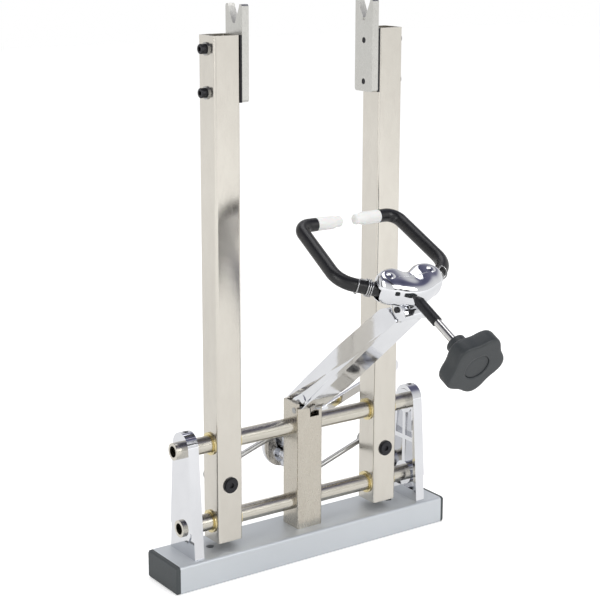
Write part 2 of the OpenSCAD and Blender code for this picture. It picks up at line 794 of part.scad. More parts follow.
module head_pivot_pin() {
    color(steel) at_head() bar_x(head_pin_d, -knuckle_w / 2 - 0.3, knuckle_w / 2 + 0.3);
}

// ---- caliper head ----

// half section of a round part of the head, with round edges above and below
module lobe_section(r) {
    intersection() {
        translate([0, head_mid]) round_rect(2 * r, head_t, head_edge);
        translate([0, head_z0 - cut]) square([2 * r, head_t + 2 * cut]);
    }
}

module head_housing() {
    color(chrome) at_head() difference() {
        union() {
            for (s = [-1, 1]) translate([s * lobe_x, lobe_y, 0]) rotate_extrude() lobe_section(lobe_r);
            intersection() {
                translate([0, belly_y, 0]) rotate_extrude() lobe_section(belly_r);
                translate([-lobe_x, front_y - cut, 0])
                    cube([2 * lobe_x, lobe_y - front_y + cut, 2 * head_z1]);
            }
            translate([-lobe_x, lobe_y, head_mid]) rotate([90, 0, 90]) linear_extrude(2 * lobe_x)
                round_rect(2 * lobe_r, head_t, head_edge);
            // knuckle round the pivot pin, fused to the body above it
            bar_x(2 * knuckle_r, -knuckle_w / 2, knuckle_w / 2);
            rotate([90, 0, 90]) translate([0, 0, -knuckle_w / 2]) linear_extrude(knuckle_w)
                polygon([[4 - knuckle_r, 0], [knuckle_r - 1, 0], [knuckle_r - 1, head_z0 + head_edge],
                         [front_y + 3, head_z0 + head_edge]]);
        }
        // slot for the arm's tongue
        translate([-tongue_t / 2 - clear, -knuckle_r - cut, -knuckle_r - cut])
            cube([tongue_t + 2 * clear, 2 * knuckle_r + 2 * cut, knuckle_r + tongue_r + 2 * cut]);
        bar_x(head_pin_d, -knuckle_w, knuckle_w);
        // pivot pins
        for (s = [-1, 1]) translate([s * jaw_px, jaw_py, head_z0 - cut])
            cylinder(d = jaw_pin_d, h = head_t + 2 * cut);
        // room for the jaws' lugs, open at both sides
        translate([0, 0, head_h - slot_h / 2]) linear_extrude(slot_h) jaw_rooms();
        // waist behind and valley above, between the lobes
        translate([0, lobe_y + lobe_r + waist_r - waist_d, head_z0 - cut])
            cylinder(r = waist_r, h = head_t + 2 * cut);
        translate([0, lobe_y + 2 * lobe_r, head_z1 + valley_r - valley_d]) rotate([90, 0, 0])
            cylinder(r = valley_r, h = 4 * lobe_r);
        // spindle
        translate([0, 0, head_h]) bar_y(spindle_d + 2 * run, front_y - cut, jaw_py);
        translate([0, 0, head_h]) bar_y(sleeve_d + 0.4, front_y - cut, front_y + 4);
    }
}

// plan of the room round both jaws' lugs and tails
module jaw_rooms() {
    union() {
        translate([-jaw_px, room_y]) square([2 * jaw_px, room_l]);
        for (s = [-1, 1]) {
            translate([s * jaw_px, jaw_py]) circle(lug_r + 1.5);
            translate([s * jaw_px, jaw_py - room_d]) scale([s, 1]) rotate(room_a) square([30, room_w]);
        }
    }
}

module jaw_pivots() {
    color(chrome) at_head() for (s = [-1, 1]) translate([s * jaw_px, jaw_py, 0]) {
        translate([0, 0, head_z0 - 1]) cylinder(d = jaw_pin_d, h = head_t + 1 + dome_sink);
        translate([0, 0, head_z0 - dome_h]) cylinder(d1 = dome_d - 3, d2 = dome_d, h = dome_h);
        translate([0, 0, head_z1]) intersection() {
            translate([0, 0, dome_h - dome_sphere]) sphere(dome_sphere);
            cylinder(d = dome_d, h = 2 * dome_h);
        }
    }
}

// ---- jaws: a bar bent in the plane of local x and y, drawn for the right side ----

// unit vector from a to b, and its length
function dir(a, b) = (b - a) / norm(b - a);
// length of the straight that a bend of radius r takes at point b
function trim(a, b, c, r) = let (k = acos(dir(a, b) * dir(b, c))) r * tan(k / 2);

// straight stretch of the bar from a to b, with lap more at each end
module bar_between(a, b, d, lap) {
    v = b - a;
    translate([a[0], a[1], 0]) rotate([0, 0, atan2(v[1], v[0])]) rotate([0, 90, 0])
        translate([0, 0, -lap[0]]) cylinder(d = d, h = norm(v) + lap[0] + lap[1]);
}

// bend at b, from the direction of a to b, to the left, to b to c; it is a hair
// thicker than the straights, which run a little way into it
module bend(a, b, c, r, d) {
    t = trim(a, b, c, r);
    k = acos(dir(a, b) * dir(b, c));
    start = b - dir(a, b) * t;
    turn = atan2(dir(a, b)[1], dir(a, b)[0]);
    centre = start + r * [-sin(turn), cos(turn)];
    translate([centre[0], centre[1], 0]) rotate([0, 0, turn - 90]) rotate_extrude(angle = k)
        translate([r, 0]) circle(d = d + 2 * run);
}

module jaw_body() {
    t1 = trim(jaw_p0, jaw_p1, jaw_p2, bend_r1);
    t2 = trim(jaw_p1, jaw_p2, jaw_p3, bend_r2);
    difference() {
        union() {
            bar_between(jaw_p0, jaw_p1 - t1 * dir(jaw_p0, jaw_p1), jaw_d, [0, lap]);
            bend(jaw_p0, jaw_p1, jaw_p2, bend_r1, jaw_d);
            bar_between(jaw_p1 + t1 * dir(jaw_p1, jaw_p2), jaw_p2 - t2 * dir(jaw_p1, jaw_p2),
                        jaw_d, [lap, lap]);
            bend(jaw_p1, jaw_p2, jaw_p3, bend_r2, jaw_d);
            bar_between(jaw_p2 + t2 * dir(jaw_p2, jaw_p3), jaw_p3, jaw_d, [lap, 0]);
            translate([jaw_px, jaw_py, -lug_h / 2]) cylinder(r = lug_r, h = lug_h);
            // tail that the nut pushes
            translate([tail_in, tail_y0, -tail_h / 2]) cube([jaw_px - tail_in, tail_w, tail_h]);
        }
        translate([jaw_px, jaw_py, -jaw_d]) cylinder(d = jaw_pin_d + 2 * run, h = 2 * jaw_d);
        translate([jaw_x3 - cut, jaw_y2, 0]) bar_x(tip_stem_d, 0, tip_stem_l + cut);
    }
}

// feeler tip: stem in the bar, round body and a tapered nose
module tip_body() {
    l = jaw_x3 - tip_gap;
    translate([jaw_x3, jaw_y2, 0]) rotate([0, -90, 0]) {
        translate([0, 0, -tip_stem_l + 0.5]) cylinder(d = tip_stem_d, h = tip_stem_l - 0.5 + eps);
        cylinder(d = tip_d, h = l - 10);
        translate([0, 0, l - 10]) cylinder(d1 = tip_d, d2 = tip_d - 2.5, h = 3);
        translate([0, 0, l - 7]) cylinder(d = tip_d - 2.5, h = 5.5);
        translate([0, 0, l - 1.5]) cylinder(d1 = tip_d - 2.5, d2 = tip_d - 5.5, h = 1.5);
    }
}

// ---- wire springs ----

function coil_point(i) = let (a = 360 * i / coil_steps)
    [coil_r * cos(a), coil_r * sin(a), coil_pitch * i / coil_steps];
function hook_point(i) = let (a = hook_turn * i / hook_steps)
    [coil_r * cos(a), coil_r * sin(a), hook_z + 0.1 * i];
wire_points = concat(
    [for (i = [0:wire_turns * coil_steps]) coil_point(i)],
    [for (k = [1:3]) [coil_r, 0, coil_z + (hook_z - coil_z) * k / 4] + [0.5 * sin(45 * k), 0, 0]],
    [for (i = [0:hook_steps]) hook_point(i)]);

// tube of 6 sides swept along points
function ring(p, t, d) = let (
    radial = [p[0], p[1], 0] / max(norm([p[0], p[1], 0]), 0.001),
    v0 = cross(t, radial), v = v0 / norm(v0), u = cross(v, t))
    [for (k = [0:5]) p + d / 2 * (cos(60 * k) * u + sin(60 * k) * v)];
function tangent(pts, i) = let (n = len(pts) - 1,
    a = pts[max(i - 1, 0)], b = pts[min(i + 1, n)]) (b - a) / norm(b - a);
module swept_wire(pts, d) {
    n = len(pts);
    rings = [for (i = [0:n - 1]) each ring(pts[i], tangent(pts, i), d)];
    sides = [for (i = [0:n - 2], k = [0:5]) let (a = 6 * i + k, b = 6 * i + (k + 1) % 6)
        each [[a, b, b + 6], [a, b + 6, a + 6]]];
    ends = concat([for (k = [1:4]) [0, k + 1, k]],
                  [for (k = [1:4]) 6 * (n - 1) * [1, 1, 1] + [0, k, k + 1]]);
    polyhedron(rings, concat(sides, ends));
}

// least gap of the wire to itself, between points more than half a turn apart
wire_gap = min([for (i = [0:len(wire_points) - 1], j = [0:len(wire_points) - 1])
    if (j > i + coil_steps / 2) norm(wire_points[i] - wire_points[j])]) - wire_d;
echo(wire_gap = wire_gap);

module spring_body() {
    s = dir(jaw_p0, jaw_p1);
    start = jaw_p0 + spring_start * s;
    translate([start[0], start[1], 0]) rotate([0, 0, atan2(s[1], s[0])]) rotate([0, 90, 0])
        rotate([0, 0, 180]) swept_wire(wire_points, wire_d);
}

module at_jaws() at_head() translate([0, 0, head_h]) children();
module right_jaw() color(black) at_jaws() jaw_body();
module left_jaw() color(black) at_jaws() mirror([1, 0, 0]) jaw_body();
module right_tip() color("white") at_jaws() tip_body();
module left_tip() color("white") at_jaws() mirror([1, 0, 0]) tip_body();
module right_jaw_spring() color(steel) at_jaws() spring_body();
module left_jaw_spring() color(steel) at_jaws() mirror([1, 0, 0]) spring_body();

// ---- spindle and knob, along local -y from the head ----

module spreader_nut() {
    color(steel) at_jaws() difference() {
        translate([-nut_w / 2, nut_y0, -nut_h / 2]) cube([nut_w, nut_l, nut_h]);
        bar_y(spindle_d + 2 * run, 0, 3 * nut_l);
    }
}

module spindle() {
    color(steel) at_jaws() {
        bar_y(spindle_d, -knob_y0 - knob_h + knob_grip, tail_y0 + tail_w - 0.3);
        bar_y(spindle_d + 3, collar_y0, collar_y1);
    }
}

module spindle_sleeve() {
    color(black) at_jaws() difference() {
        bar_y(sleeve_d, -sleeve_y, front_y + 3);
        bar_y(spindle_d, -sleeve_y - cut, front_y + 4);
    }
}

// plan of the knob: lobes joined by hollows that curve inwards
module star_plan(d) {
    r = d / 2;
    lobe = 0.45 * r;
    difference() {
        circle(r * 0.91);
        for (k = [0:lobes - 1]) rotate(360 / lobes * (k + 0.5)) translate([r * 1.357, 0]) circle(r * 0.5);
    }
    for (k = [0:lobes - 1]) rotate(360 / lobes * k) translate([r - lobe, 0]) circle(lobe);
}

module star_knob() {
    color("#424648") at_jaws() translate([0, -knob_y0, 0]) rotate([90, 0, 0]) difference() {
        union() {
            cylinder(d = hub_d, h = knob_h - lobe_h + eps);
            translate([0, 0, knob_h - lobe_h]) intersection() {
                linear_extrude(lobe_h) star_plan(knob_d);
                // rounded over the lobes, front and back
                rotate_extrude() polygon([[0, 0], [knob_d / 2 - 6, 0], [knob_d / 2 - 1.5, 3],
                    [knob_d / 2, 7], [knob_d / 2, lobe_h - 3], [knob_d / 2 - 0.8, lobe_h - 0.9],
                    [knob_d / 2 - 2.8, lobe_h], [0, lobe_h]]);
            }
        }
        translate([0, 0, -cut]) cylinder(d = spindle_d, h = knob_h - knob_grip + cut);
        translate([0, 0, knob_h - 3]) cylinder(d = cap_d + 0.2, h = 3 + cut);
    }
}

module knob_cap() {
    color("#4a4e50") at_jaws() translate([0, -knob_y0 - knob_h + 3, 0]) rotate([90, 0, 0]) {
        cylinder(d = cap_d, h = 1.2);
        translate([0, 0, 1.2]) cylinder(d1 = cap_d, d2 = cap_d - 2, h = 0.6);
    }
}

base_tube();
end_caps();
left_bracket();
right_bracket();
bracket_bolts();
upper_rod();
lower_rod();
rod_set_screws();
centre_post();
post_bolts();
arm_pivot_pin();
rocker_pivot_bolt();
left_upright();
left_bushes();
left_shim();
left_axle_plate();
left_plate_screws();
left_washers();
left_link_screw();
right_upright();
right_bushes();
right_shim();
right_axle_plate();
right_plate_screws();
right_washers();
right_link_screw();
rocker();
rocker_pins();
operating_lever();
left_link();
right_link();
caliper_arm();
head_pin_screw();
head_pivot_pin();
head_housing();
jaw_pivots();
left_jaw();
left_tip();
left_jaw_spring();
right_jaw();
right_tip();
right_jaw_spring();
spreader_nut();
spindle();
spindle_sleeve();
star_knob();
knob_cap();
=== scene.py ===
import math

import bmesh
import bpy
from mathutils import Matrix, Vector


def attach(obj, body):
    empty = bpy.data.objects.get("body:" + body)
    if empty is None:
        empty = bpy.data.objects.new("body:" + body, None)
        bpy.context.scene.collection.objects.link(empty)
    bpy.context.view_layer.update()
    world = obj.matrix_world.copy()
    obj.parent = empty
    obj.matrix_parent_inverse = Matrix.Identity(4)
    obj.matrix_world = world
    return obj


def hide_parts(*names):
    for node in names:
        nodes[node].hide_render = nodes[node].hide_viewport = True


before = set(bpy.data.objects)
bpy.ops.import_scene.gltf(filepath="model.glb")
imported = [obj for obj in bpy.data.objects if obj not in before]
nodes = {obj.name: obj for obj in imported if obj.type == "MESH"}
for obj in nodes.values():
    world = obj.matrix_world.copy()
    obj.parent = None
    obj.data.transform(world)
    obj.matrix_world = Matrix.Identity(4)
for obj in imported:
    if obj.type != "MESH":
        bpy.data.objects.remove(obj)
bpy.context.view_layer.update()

mm = 0.001


# camera, on the photograph's line of sight
photoView = {
    "azimuth": -34.97,      # degrees, 0 looks along +Y
    "elevation": 12.63,
    "distance": 1.6262,
    "lookAt": (-0.0040, 0.0, 0.3231),
    "lensPixels": 1551.9,   # focal length in pixels, for a frame of frameWidth pixels
    "frameWidth": 600,
    "sensor": 36,           # mm
    "roll": 0.16,
    "shiftY": -0.0667,
}


def makeCamera(view):
    camData = bpy.data.cameras.new("photoCamera")
    cam = bpy.data.objects.new("photoCamera", camData)
    bpy.context.collection.objects.link(cam)
    a, e = math.radians(view["azimuth"]), math.radians(view["elevation"])
    back = Vector((math.sin(a) * math.cos(e), -math.cos(a) * math.cos(e), math.sin(e)))
    cam.location = Vector(view["lookAt"]) + back * view["distance"]
    turn = (-back).to_track_quat("-Z", "Y").to_matrix()
    cam.rotation_euler = (turn @ Matrix.Rotation(math.radians(view["roll"]), 3, "Z")).to_euler()
    camData.sensor_width = view["sensor"]
    camData.lens = view["lensPixels"] / view["frameWidth"] * view["sensor"]
    camData.shift_y = view["shiftY"]
    camData.clip_start, camData.clip_end = 0.05, 50
    bpy.context.scene.camera = cam


makeCamera(photoView)
print("camera ready")


def linear(hexColour):
    # sRGB hex to linear light
    channels = [int(hexColour[i:i + 2], 16) / 255 for i in (1, 3, 5)]
    return tuple(c / 12.92 if c < 0.04045 else ((c + 0.055) / 1.055) ** 2.4 for c in channels) + (1.0,)


def addNode(tree, kind, inputs=None, **settings):
    node = tree.nodes.new(kind)
    for name, value in settings.items():
        setattr(node, name, value)
    for name, value in (inputs or {}).items():
        if isinstance(value, bpy.types.NodeSocket):
            tree.links.new(value, node.inputs[name])
        else:
            node.inputs[name].default_value = value
    return node


def patternHeight(tree, place, size, detail=2.0, warp=0.0):
    # noise whose cells are size millimetres along x, y and z
    scaled = addNode(tree, "ShaderNodeMapping", {"Vector": place, "Scale": [1 / (s * mm) for s in size]})
    noise = addNode(tree, "ShaderNodeTexNoise", {
        "Vector": scaled.outputs[0], "Scale": 1.0, "Detail": detail, "Distortion": warp})
    return noise.outputs["Fac"]


def makeSurface(name, look):
    # a mottled colour, a fine grain that sets roughness and bump, and a slow wave where look has one
    material = bpy.data.materials.new(name)
    material.use_nodes = True
    tree = material.node_tree
    shader = tree.nodes["Principled BSDF"]
    place = addNode(tree, "ShaderNodeTexCoord").outputs["Object"]
    mottle = patternHeight(tree, place, look["mottleSize"], 3.0, 0.4)
    colour = addNode(tree, "ShaderNodeMix", {"Factor": mottle}, data_type="RGBA")
    colour.inputs["A"].default_value = linear(look["colourA"])
    colour.inputs["B"].default_value = linear(look["colourB"])
    tree.links.new(colour.outputs["Result"], shader.inputs["Base Color"])
    grain = patternHeight(tree, place, look["grainSize"], 2.0)
    low, high = look["roughness"]
    rough = addNode(tree, "ShaderNodeMapRange", {
        "Value": grain, "From Min": 0.3, "From Max": 0.7, "To Min": low, "To Max": high})
    tree.links.new(rough.outputs[0], shader.inputs["Roughness"])
    bump = addNode(tree, "ShaderNodeBump", {
        "Height": grain, "Distance": look["grainDepth"] * mm, "Strength": 1.0})
    if "waveSize" in look:
        wave = patternHeight(tree, place, look["waveSize"], 1.0)
        bump = addNode(tree, "ShaderNodeBump", {
            "Height": wave, "Distance": look["waveDepth"] * mm, "Strength": 1.0, "Normal": bump.outputs[0]})
    tree.links.new(bump.outputs[0], shader.inputs["Normal"])
    shader.inputs["Metallic"].default_value = look["metallic"]
    for socket, value in look.get("shader", {}).items():
        shader.inputs[socket].default_value = value
    return material


# silver baked enamel, sprayed on steel tube: even, a little metallic, fine orange peel
silverEnamel = makeSurface("silverEnamel", {
    "colourA": "#c8cdd2", "colourB": "#d1d5d9", "mottleSize": (60, 60, 60),
    "grainSize": (0.9, 0.9, 0.9), "grainDepth": 0.012, "roughness": (0.36, 0.46), "metallic": 0.5})

# bright nickel plate over drawn square tube: warm, soft reflections, faint draw lines and blotches
nickelPlate = makeSurface("nickelPlate", {
    "colourA": "#dad6cd", "colourB": "#cfcac1", "mottleSize": (9, 9, 22),
    "grainSize": (1.1, 1.1, 4.0), "grainDepth": 0.0012, "roughness": (0.2, 0.26), "metallic": 1.0,
    "waveSize": (16, 16, 60), "waveDepth": 0.02})

# the same plate on the post, greyer and darker, and a little rougher
dullNickel = makeSurface("dullNickel", {
    "colourA": "#c9c4b9", "colourB": "#bfb8ac", "mottleSize": (9, 9, 22),
    "grainSize": (1.1, 1.1, 4.0), "grainDepth": 0.0012, "roughness": (0.22, 0.3), "metallic": 1.0,
    "waveSize": (16, 16, 60), "waveDepth": 0.02})

# the same nickel on drawn round tube: rubbed along its length by the sliding bushes
nickelRod = makeSurface("nickelRod", {
    "colourA": "#d6d2c8", "colourB": "#c7c2b6", "mottleSize": (25, 6, 6),
    "grainSize": (9.0, 0.5, 0.5), "grainDepth": 0.0012, "roughness": (0.16, 0.26), "metallic": 1.0})

# axle plates: nickel over surface-ground steel, greyer and flatter than the tubes
groundNickel = makeSurface("groundNickel", {
    "colourA": "#cecdc9", "colourB": "#c2c1bc", "mottleSize": (8, 8, 8),
    "grainSize": (0.6, 0.6, 5.0), "grainDepth": 0.0015, "roughness": (0.24, 0.34), "metallic": 1.0})

# hard chrome on ground bar: clear reflections with fine grinding rings
groundChrome = makeSurface("groundChrome", {
    "colourA": "#d6d5d3", "colourB": "#c6c5c3", "mottleSize": (9, 30, 30),
    "grainSize": (0.35, 30, 30), "grainDepth": 0.003, "roughness": (0.1, 0.2), "metallic": 1.0})

# chrome over a polished die casting: mirror with the casting's slow waves
castChrome = makeSurface("castChrome", {
    "colourA": "#e6e7ea", "colourB": "#d9dadd", "mottleSize": (30, 30, 30),
    "grainSize": (2.2, 2.2, 2.2), "grainDepth": 0.002, "roughness": (0.05, 0.1), "metallic": 1.0,
    "waveSize": (24, 24, 24), "waveDepth": 0.05})

# zinc-plated turned steel: greyer and duller
zincPlate = makeSurface("zincPlate", {
    "colourA": "#b4b4b2", "colourB": "#9a9a99", "mottleSize": (5, 5, 5),
    "grainSize": (0.5, 0.5, 0.5), "grainDepth": 0.004, "roughness": (0.22, 0.36), "metallic": 1.0})

# black oxide on screws: dark, oily, soft highlights
blackOxide = makeSurface("blackOxide", {
    "colourA": "#2a2a2c", "colourB": "#36363a", "mottleSize": (3, 3, 3),
    "grainSize": (0.5, 0.5, 0.5), "grainDepth": 0.005, "roughness": (0.3, 0.45), "metallic": 0.7})

# turned bearing bronze: golden, with turning rings
turnedBronze = makeSurface("turnedBronze", {
    "colourA": "#e4d7ad", "colourB": "#d9c998", "mottleSize": (4, 6, 6),
    "grainSize": (0.4, 6, 6), "grainDepth": 0.004, "roughness": (0.2, 0.32), "metallic": 1.0})

# polyethylene moulded in a fine spark-eroded tool: dull dark grey
mouldedPolyethylene = makeSurface("mouldedPolyethylene", {
    "colourA": "#3d4244", "colourB": "#45494b", "mottleSize": (25, 25, 25),
    "grainSize": (0.6, 0.6, 0.6), "grainDepth": 0.02, "roughness": (0.5, 0.62), "metallic": 0.0})

# glass-filled nylon moulded in an etched tool: dark grey with a leather-like grain
mouldedNylon = makeSurface("mouldedNylon", {
    "colourA": "#2b2f31", "colourB": "#313538", "mottleSize": (12, 12, 12),
    "grainSize": (0.7, 0.7, 0.7), "grainDepth": 0.05, "roughness": (0.42, 0.55), "metallic": 0.0})

# vinyl dipped over steel bar: near black, smooth, with a broad soft highlight
dippedVinyl = makeSurface("dippedVinyl", {
    "colourA": "#0f0f11", "colourB": "#141417", "mottleSize": (18, 18, 18),
    "grainSize": (1.2, 1.2, 1.2), "grainDepth": 0.012, "roughness": (0.3, 0.4), "metallic": 0.0})

# acetal turned from white rod: bright, with faint turning rings
turnedAcetal = makeSurface("turnedAcetal", {
    "colourA": "#f2f2f0", "colourB": "#e9e9e7", "mottleSize": (6, 12, 12),
    "grainSize": (0.5, 12, 12), "grainDepth": 0.008, "roughness": (0.28, 0.4), "metallic": 0.0,
    "shader": {"Subsurface Weight": 0.1, "Subsurface Scale": 0.004}})

# music wire: bright and springy, fine draw marks
musicWire = makeSurface("musicWire", {
    "colourA": "#b8b8b8", "colourB": "#9f9fa0", "mottleSize": (4, 4, 4),
    "grainSize": (0.4, 0.4, 0.4), "grainDepth": 0.002, "roughness": (0.18, 0.28), "metallic": 1.0})

# the surface on each CAD node
nodeFinish = {
    "base_tube": silverEnamel, "end_caps": mouldedPolyethylene,
    "left_bracket": castChrome, "right_bracket": castChrome,
    "upper_rod": nickelRod, "lower_rod": nickelRod,
    "centre_post": dullNickel, "rocker": castChrome, "operating_lever": castChrome,
    "caliper_arm": castChrome, "head_housing": castChrome, "jaw_pivots": castChrome,
    "bracket_bolts": blackOxide, "rod_set_screws": blackOxide, "post_bolts": blackOxide,
    "rocker_pivot_bolt": blackOxide, "head_pin_screw": blackOxide, "spindle_sleeve": blackOxide,
    "arm_pivot_pin": zincPlate, "rocker_pins": zincPlate, "left_link": zincPlate, "right_link": zincPlate,
    "head_pivot_pin": blackOxide, "spreader_nut": zincPlate, "spindle": groundChrome,
    "star_knob": mouldedNylon, "knob_cap": mouldedNylon,
}
for side in ("left", "right"):
    nodeFinish.update({
        side + "_upright": nickelPlate, side + "_bushes": turnedBronze, side + "_shim": blackOxide,
        side + "_axle_plate": groundNickel, side + "_plate_screws": blackOxide, side + "_washers": zincPlate,
        side + "_link_screw": blackOxide, side + "_jaw": dippedVinyl, side + "_tip": turnedAcetal,
        side + "_jaw_spring": musicWire})
for name, material in nodeFinish.items():
    slots = nodes[name].data.materials
    slots.clear()
    slots.append(material)
print("finishes on", len(nodeFinish), "CAD nodes")


def newPiece(name, mesh, body, material, *replaced):
    # a piece that rides on the body and stands in for the replaced CAD nodes
    piece = bpy.data.objects.new(name, mesh)
    bpy.context.collection.objects.link(piece)
    mesh.materials.clear()
    mesh.materials.append(material)
    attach(piece, body)
    if replaced:
        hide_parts(*replaced)
    return piece


def applyModifiers(piece):
    # turns what the modifiers show into the piece's own mesh
    shown = piece.evaluated_get(bpy.context.evaluated_depsgraph_get())
    mesh = bpy.data.meshes.new_from_object(shown)
    piece.modifiers.clear()
    piece.data = mesh


def smoothFaces(mesh):
    for face in mesh.polygons:
        face.use_smooth = True


def bevelled(piece, width, segments=3, angle=28):
    # rounds edges sharper than angle degrees to width millimetres
    smoothFaces(piece.data)
    bevel = piece.modifiers.new("edges", "BEVEL")
    bevel.width, bevel.segments = width * mm, segments
    bevel.limit_method, bevel.angle_limit = "ANGLE", math.radians(angle)
    bevel.use_clamp_overlap = True
    bevel.harden_normals = True
    bevel.miter_outer = "MITER_ARC"
    applyModifiers(piece)


def softEdged(node, body, width, segments=2, angle=30):
    # the CAD node's mesh again, with its sharp edges rounded to width millimetres
    mesh = nodes[node].data.copy()
    work = bmesh.new()
    work.from_mesh(mesh)
    bmesh.ops.remove_doubles(work, verts=work.verts, dist=2e-6)
    bmesh.ops.dissolve_limit(work, angle_limit=math.radians(1.0), verts=work.verts, edges=work.edges)
    work.to_mesh(mesh)
    work.free()
    smoothFaces(mesh)
    if "custom_normal" in mesh.attributes:
        mesh.attributes.remove(mesh.attributes["custom_normal"])
    piece = newPiece(node + "_finished", mesh, body, nodeFinish[node], node)
    bevelled(piece, width, segments, angle)


softEdges = {               # node: body and edge radius in mm
    "left_upright": ("left_slide", 0.5), "right_upright": ("right_slide", 0.5),
    "left_axle_plate": ("left_slide", 0.5), "right_axle_plate": ("right_slide", 0.5),
    "left_bracket": ("frame", 1.0), "right_bracket": ("frame", 1.0),
    "centre_post": ("frame", 0.5), "base_tube": ("frame", 0.4),
    "operating_lever": ("rocker", 0.8), "rocker": ("rocker", 0.6),
}
for node, (body, width) in softEdges.items():
    softEdged(node, body, width)
print("edges rounded on", len(softEdges), "nodes")


# the head's own frame: x to the right, y along the spindle, z out of the jaws' plane
headFrame = {"pivot": (0, -7, 162), "armLength": 226.5, "armLean": 49.5, "tilt": 27.5, "jawPlane": 13.5}


def headPlace():
    # from millimetres in the head's frame to metres in the world
    lean, tilt = math.radians(headFrame["armLean"]), math.radians(headFrame["tilt"])
    alongArm = Vector((0, -math.sin(lean), math.cos(lean))) * headFrame["armLength"]
    origin = (Vector(headFrame["pivot"]) + alongArm) * mm
    turn = Matrix.Translation(origin) @ Matrix.Rotation(tilt, 4, "X")
    return turn @ Matrix.Scale(mm, 4) @ Matrix.Translation((0, 0, headFrame["jawPlane"]))


def ringsMesh(name, rings, place):
    # skin over closed rings of points in mm, with a fan at both ends
    count = len(rings[0])
    points = [place @ Vector(p) for ring in rings for p in ring]
    faces = []
    for k in range(len(rings) - 1):
        low, high = k * count, (k + 1) * count
        faces += [(low + i, low + (i + 1) % count, high + (i + 1) % count, high + i) for i in range(count)]
    for ring, flip in ((0, True), (len(rings) - 1, False)):
        points.append(sum((points[ring * count + i] for i in range(count)), Vector()) / count)
        tip = len(points) - 1
        for i in range(count):
            here, following = ring * count + i, ring * count + (i + 1) % count
            faces.append((following, here, tip) if flip else (here, following, tip))
    mesh = bpy.data.meshes.new(name)
    mesh.from_pydata(points, [], faces)
    work = bmesh.new()
    work.from_mesh(mesh)
    bmesh.ops.recalc_face_normals(work, faces=work.faces)
    work.to_mesh(mesh)
    work.free()
    smoothFaces(mesh)
    return mesh


def edgeArc(radius, steps=6):
    # quarter turn: (how far in, how far along) from the flat end to the side
    turns = [math.radians(90 * k / steps) for k in range(steps + 1)]
    return [(radius * (1 - math.sin(t)), radius * (1 - math.cos(t))) for t in turns]


def cutAway(piece, cutters):
    # takes each cutter out of the piece, then forgets the cutters
    for cutter in cutters:
        tool = bpy.data.objects.new("cutter", cutter)
        bpy.context.collection.objects.link(tool)
        cut = piece.modifiers.new("cut", "BOOLEAN")
        cut.operation, cut.solver, cut.object = "DIFFERENCE", "EXACT", tool
        applyModifiers(piece)
        bpy.data.objects.remove(tool)
    piece.data.materials.clear()
    piece.data.materials.append(castChrome)


def shadeByAngle(piece, angle):
    smoothFaces(piece.data)
    piece.data.set_sharp_from_angle(angle=math.radians(angle))


def prism(plan, low, high, place, axis="Z"):
    # straight prism over a closed plan in mm, from low to high along a local axis
    def at(a, b, c):
        return {"X": (c, a, b), "Y": (a, c, b), "Z": (a, b, c)}[axis]
    return ringsMesh("prism", [[at(a, b, c) for a, b in plan] for c in (low, high)], place)


def circlePlan(x, y, radius, sides=48):
    turns = [2 * math.pi * k / sides for k in range(sides)]
    return [(x + radius * math.cos(t), y + radius * math.sin(t)) for t in turns]


def arcPlan(x, y, radius, degrees):
    turns = [math.radians(a) for a in degrees]
    return [(x + radius * math.cos(t), y + radius * math.sin(t)) for t in turns]


# cast head, in mm in the head's frame
headCast = {
    "lobeX": 21.5, "lobeY": 14.0, "lobeRadius": 16.5,       # round ends
    "frontRadius": 45.0, "front": -9.0,                     # long round front between them
    "waist": 6.0, "waistHalf": 16.0,                        # hollow behind
    "top": 17.5, "bottom": -10.5,
    "edge": 7.0, "frontEdge": 6.0, "fullness": 2.3,         # how the sides roll over into top and bottom
    "saddle": 3.2, "saddleWidth": 9.0, "saddleFrom": -6.0, "saddleRun": 24.0,
    "seamHalf": 19, "seamY": 12.0,                          # line on which top and bottom close
    "samples": 200, "sides": 180, "levels": 14, "smoothings": 5, "sharpAngle": 38,
    "pivotX": 24.5, "pivotY": 16.0, "slotHalf": 7.05, "lugRoom": 9.5, "middleRoom": (1.5, 25),
    "barRoom": (30, 24), "roomFront": 10.4, "roomTurn": 14.0,
    "boreRadius": 5.45, "bore": (-14, 4),                   # for the spindle, along y
}


def evenlySpaced(line, count):
    # count points at equal steps along a closed line
    lengths = [math.dist(line[k], line[(k + 1) % len(line)]) for k in range(len(line))]
    total, ring, k, passed = sum(lengths), [], 0, 0.0
    for step in range(count):
        goal = total * step / count
        while passed + lengths[k] < goal:
            passed += lengths[k]
            k += 1
        share = (goal - passed) / lengths[k]
        a, b = line[k], line[(k + 1) % len(line)]
        ring.append((a[0] + (b[0] - a[0]) * share, a[1] + (b[1] - a[1]) * share))
    return ring


def smoothed(ring, times):
    for _ in range(times):
        following = ring[1:] + ring[:1]
        ring = [tuple((ring[i - 1][c] + 2 * ring[i][c] + following[i][c]) / 4 for c in (0, 1))
                for i in range(len(ring))]
    return ring


